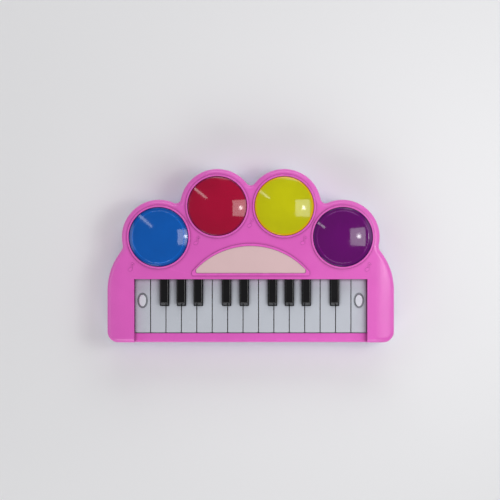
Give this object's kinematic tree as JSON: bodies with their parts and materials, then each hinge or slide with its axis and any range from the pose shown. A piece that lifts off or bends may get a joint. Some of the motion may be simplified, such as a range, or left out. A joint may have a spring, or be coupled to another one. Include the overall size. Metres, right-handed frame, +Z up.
{
  "type": "toy electronic keyboard",
  "caption": "Small toy electronic keyboard with hinged white and black keys in front of a curved row of domed, pressable light-up drum pads.",
  "frame": {"origin": "on the table under the middle of the toy's overall box", "axes": "+X to the player's right along the keys, +Y away from the player, +Z up"},
  "size_m": [0.316, 0.191, 0.048],
  "materials": {
    "pink_casing": "satin moulded plastic",
    "lilac_casing": "satin moulded plastic",
    "steel": "zinc plated",
    "cell_jacket": "plain printed sleeve",
    "nickel": "nickel plated spring steel",
    "foot_rubber": "matt",
    "frame_plastic": "moulded",
    "circuit_board": "phenolic board",
    "component_black": "epoxy",
    "silicone": "soft",
    "lamp_clear": "clear",
    "white_key": "polished",
    "black_key": "polished",
    "button_white": "polished",
    "pad_blue": "tinted, lets light through",
    "pad_red": "tinted, lets light through",
    "pad_yellow": "tinted, lets light through",
    "pad_purple": "tinted, lets light through",
    "speaker_steel": "pressed",
    "speaker_paper": "pulp",
    "magnet": "sintered",
    "label_plain": "plain sticker",
    "wire_red": "insulation",
    "wire_black": "insulation",
    "ribbon_grey": "insulation"
  },
  "bodies": {
    "chassis": {"upper_casing": "pink_casing", "lower_casing": "lilac_casing", "casing_screws": "steel", "board_screws": "steel", "batteries": "cell_jacket", "battery_contacts": "nickel", "feet": "foot_rubber", "key_frame": "frame_plastic", "pivot_rod": "steel", "key_board": "circuit_board", "pad_board": "circuit_board", "main_board": "circuit_board", "board_components": "component_black", "contact_strip": "silicone", "pad_rings": "silicone", "pad_lamps": "lamp_clear", "left_end_panel": "white_key", "right_end_panel": "white_key", "speaker_frame": "speaker_steel", "speaker_cone": "speaker_paper", "speaker_magnet": "magnet", "label_sticker": "label_plain", "red_wires": "wire_red", "black_wires": "wire_black", "ribbon_cables": "ribbon_grey"},
    "white_key_01": {"white_key_01": "white_key"},
    "white_key_02": {"white_key_02": "white_key"},
    "white_key_03": {"white_key_03": "white_key"},
    "white_key_04": {"white_key_04": "white_key"},
    "white_key_05": {"white_key_05": "white_key"},
    "white_key_06": {"white_key_06": "white_key"},
    "white_key_07": {"white_key_07": "white_key"},
    "white_key_08": {"white_key_08": "white_key"},
    "white_key_09": {"white_key_09": "white_key"},
    "white_key_10": {"white_key_10": "white_key"},
    "white_key_11": {"white_key_11": "white_key"},
    "white_key_12": {"white_key_12": "white_key"},
    "white_key_13": {"white_key_13": "white_key"},
    "black_key_01": {"black_key_01": "black_key"},
    "black_key_02": {"black_key_02": "black_key"},
    "black_key_03": {"black_key_03": "black_key"},
    "black_key_04": {"black_key_04": "black_key"},
    "black_key_05": {"black_key_05": "black_key"},
    "black_key_06": {"black_key_06": "black_key"},
    "black_key_07": {"black_key_07": "black_key"},
    "black_key_08": {"black_key_08": "black_key"},
    "black_key_09": {"black_key_09": "black_key"},
    "drum_pad_blue": {"drum_pad_blue": "pad_blue"},
    "drum_pad_red": {"drum_pad_red": "pad_red"},
    "drum_pad_yellow": {"drum_pad_yellow": "pad_yellow"},
    "drum_pad_purple": {"drum_pad_purple": "pad_purple"},
    "left_button": {"left_button": "button_white"},
    "right_button": {"right_button": "button_white"},
    "battery_door": {"battery_door": "lilac_casing", "battery_door_screw": "steel"}
  },
  "joints": [
    {"name": "white_key_01_press", "type": "hinge", "parent": "chassis", "child": "white_key_01", "pos_m": [0, -0.016, 0.022], "axis": [1, 0, 0], "range_deg": [0, 2.6], "stiffness_Nm_per_rad": 0.3, "springref_deg": -2.86, "deforming": ["contact_strip"]},
    {"name": "white_key_02_press", "type": "hinge", "parent": "chassis", "child": "white_key_02", "pos_m": [0, -0.016, 0.022], "axis": [1, 0, 0], "range_deg": [0, 2.6], "stiffness_Nm_per_rad": 0.3, "springref_deg": -2.86, "deforming": ["contact_strip"]},
    {"name": "white_key_03_press", "type": "hinge", "parent": "chassis", "child": "white_key_03", "pos_m": [0, -0.016, 0.022], "axis": [1, 0, 0], "range_deg": [0, 2.6], "stiffness_Nm_per_rad": 0.3, "springref_deg": -2.86, "deforming": ["contact_strip"]},
    {"name": "white_key_04_press", "type": "hinge", "parent": "chassis", "child": "white_key_04", "pos_m": [0, -0.016, 0.022], "axis": [1, 0, 0], "range_deg": [0, 2.6], "stiffness_Nm_per_rad": 0.3, "springref_deg": -2.86, "deforming": ["contact_strip"]},
    {"name": "white_key_05_press", "type": "hinge", "parent": "chassis", "child": "white_key_05", "pos_m": [0, -0.016, 0.022], "axis": [1, 0, 0], "range_deg": [0, 2.6], "stiffness_Nm_per_rad": 0.3, "springref_deg": -2.86, "deforming": ["contact_strip"]},
    {"name": "white_key_06_press", "type": "hinge", "parent": "chassis", "child": "white_key_06", "pos_m": [0, -0.016, 0.022], "axis": [1, 0, 0], "range_deg": [0, 2.6], "stiffness_Nm_per_rad": 0.3, "springref_deg": -2.86, "deforming": ["contact_strip"]},
    {"name": "white_key_07_press", "type": "hinge", "parent": "chassis", "child": "white_key_07", "pos_m": [0, -0.016, 0.022], "axis": [1, 0, 0], "range_deg": [0, 2.6], "stiffness_Nm_per_rad": 0.3, "springref_deg": -2.86, "deforming": ["contact_strip"]},
    {"name": "white_key_08_press", "type": "hinge", "parent": "chassis", "child": "white_key_08", "pos_m": [0, -0.016, 0.022], "axis": [1, 0, 0], "range_deg": [0, 2.6], "stiffness_Nm_per_rad": 0.3, "springref_deg": -2.86, "deforming": ["contact_strip"]},
    {"name": "white_key_09_press", "type": "hinge", "parent": "chassis", "child": "white_key_09", "pos_m": [0, -0.016, 0.022], "axis": [1, 0, 0], "range_deg": [0, 2.6], "stiffness_Nm_per_rad": 0.3, "springref_deg": -2.86, "deforming": ["contact_strip"]},
    {"name": "white_key_10_press", "type": "hinge", "parent": "chassis", "child": "white_key_10", "pos_m": [0, -0.016, 0.022], "axis": [1, 0, 0], "range_deg": [0, 2.6], "stiffness_Nm_per_rad": 0.3, "springref_deg": -2.86, "deforming": ["contact_strip"]},
    {"name": "white_key_11_press", "type": "hinge", "parent": "chassis", "child": "white_key_11", "pos_m": [0, -0.016, 0.022], "axis": [1, 0, 0], "range_deg": [0, 2.6], "stiffness_Nm_per_rad": 0.3, "springref_deg": -2.86, "deforming": ["contact_strip"]},
    {"name": "white_key_12_press", "type": "hinge", "parent": "chassis", "child": "white_key_12", "pos_m": [0, -0.016, 0.022], "axis": [1, 0, 0], "range_deg": [0, 2.6], "stiffness_Nm_per_rad": 0.3, "springref_deg": -2.86, "deforming": ["contact_strip"]},
    {"name": "white_key_13_press", "type": "hinge", "parent": "chassis", "child": "white_key_13", "pos_m": [0, -0.016, 0.022], "axis": [1, 0, 0], "range_deg": [0, 2.6], "stiffness_Nm_per_rad": 0.3, "springref_deg": -2.86, "deforming": ["contact_strip"]},
    {"name": "black_key_01_press", "type": "hinge", "parent": "chassis", "child": "black_key_01", "pos_m": [0, -0.016, 0.022], "axis": [1, 0, 0], "range_deg": [0, 4], "stiffness_Nm_per_rad": 0.2, "springref_deg": -3.44, "deforming": ["contact_strip"]},
    {"name": "black_key_02_press", "type": "hinge", "parent": "chassis", "child": "black_key_02", "pos_m": [0, -0.016, 0.022], "axis": [1, 0, 0], "range_deg": [0, 4], "stiffness_Nm_per_rad": 0.2, "springref_deg": -3.44, "deforming": ["contact_strip"]},
    {"name": "black_key_03_press", "type": "hinge", "parent": "chassis", "child": "black_key_03", "pos_m": [0, -0.016, 0.022], "axis": [1, 0, 0], "range_deg": [0, 4], "stiffness_Nm_per_rad": 0.2, "springref_deg": -3.44, "deforming": ["contact_strip"]},
    {"name": "black_key_04_press", "type": "hinge", "parent": "chassis", "child": "black_key_04", "pos_m": [0, -0.016, 0.022], "axis": [1, 0, 0], "range_deg": [0, 4], "stiffness_Nm_per_rad": 0.2, "springref_deg": -3.44, "deforming": ["contact_strip"]},
    {"name": "black_key_05_press", "type": "hinge", "parent": "chassis", "child": "black_key_05", "pos_m": [0, -0.016, 0.022], "axis": [1, 0, 0], "range_deg": [0, 4], "stiffness_Nm_per_rad": 0.2, "springref_deg": -3.44, "deforming": ["contact_strip"]},
    {"name": "black_key_06_press", "type": "hinge", "parent": "chassis", "child": "black_key_06", "pos_m": [0, -0.016, 0.022], "axis": [1, 0, 0], "range_deg": [0, 4], "stiffness_Nm_per_rad": 0.2, "springref_deg": -3.44, "deforming": ["contact_strip"]},
    {"name": "black_key_07_press", "type": "hinge", "parent": "chassis", "child": "black_key_07", "pos_m": [0, -0.016, 0.022], "axis": [1, 0, 0], "range_deg": [0, 4], "stiffness_Nm_per_rad": 0.2, "springref_deg": -3.44, "deforming": ["contact_strip"]},
    {"name": "black_key_08_press", "type": "hinge", "parent": "chassis", "child": "black_key_08", "pos_m": [0, -0.016, 0.022], "axis": [1, 0, 0], "range_deg": [0, 4], "stiffness_Nm_per_rad": 0.2, "springref_deg": -3.44, "deforming": ["contact_strip"]},
    {"name": "black_key_09_press", "type": "hinge", "parent": "chassis", "child": "black_key_09", "pos_m": [0, -0.016, 0.022], "axis": [1, 0, 0], "range_deg": [0, 4], "stiffness_Nm_per_rad": 0.2, "springref_deg": -3.44, "deforming": ["contact_strip"]},
    {"name": "drum_pad_blue_press", "type": "slide", "parent": "chassis", "child": "drum_pad_blue", "axis": [0, 0, -1], "range_m": [0, 0.002], "stiffness_N_per_m": 1500, "springref_m": -0.001, "deforming": ["pad_rings"]},
    {"name": "drum_pad_red_press", "type": "slide", "parent": "chassis", "child": "drum_pad_red", "axis": [0, 0, -1], "range_m": [0, 0.002], "stiffness_N_per_m": 1500, "springref_m": -0.001, "deforming": ["pad_rings"]},
    {"name": "drum_pad_yellow_press", "type": "slide", "parent": "chassis", "child": "drum_pad_yellow", "axis": [0, 0, -1], "range_m": [0, 0.002], "stiffness_N_per_m": 1500, "springref_m": -0.001, "deforming": ["pad_rings"]},
    {"name": "drum_pad_purple_press", "type": "slide", "parent": "chassis", "child": "drum_pad_purple", "axis": [0, 0, -1], "range_m": [0, 0.002], "stiffness_N_per_m": 1500, "springref_m": -0.001, "deforming": ["pad_rings"]},
    {"name": "left_button_press", "type": "slide", "parent": "chassis", "child": "left_button", "axis": [0, 0, -1], "range_m": [0, 0.0012], "stiffness_N_per_m": 800, "springref_m": -0.0008, "deforming": ["contact_strip"]},
    {"name": "right_button_press", "type": "slide", "parent": "chassis", "child": "right_button", "axis": [0, 0, -1], "range_m": [0, 0.0012], "stiffness_N_per_m": 800, "springref_m": -0.0008, "deforming": ["contact_strip"]},
    {"name": "battery_door_open", "type": "hinge", "parent": "chassis", "child": "battery_door", "pos_m": [-0.0863, -0.0057, 0.002], "axis": [-1, 0, 0], "range_deg": [0, 60]}
  ]
}
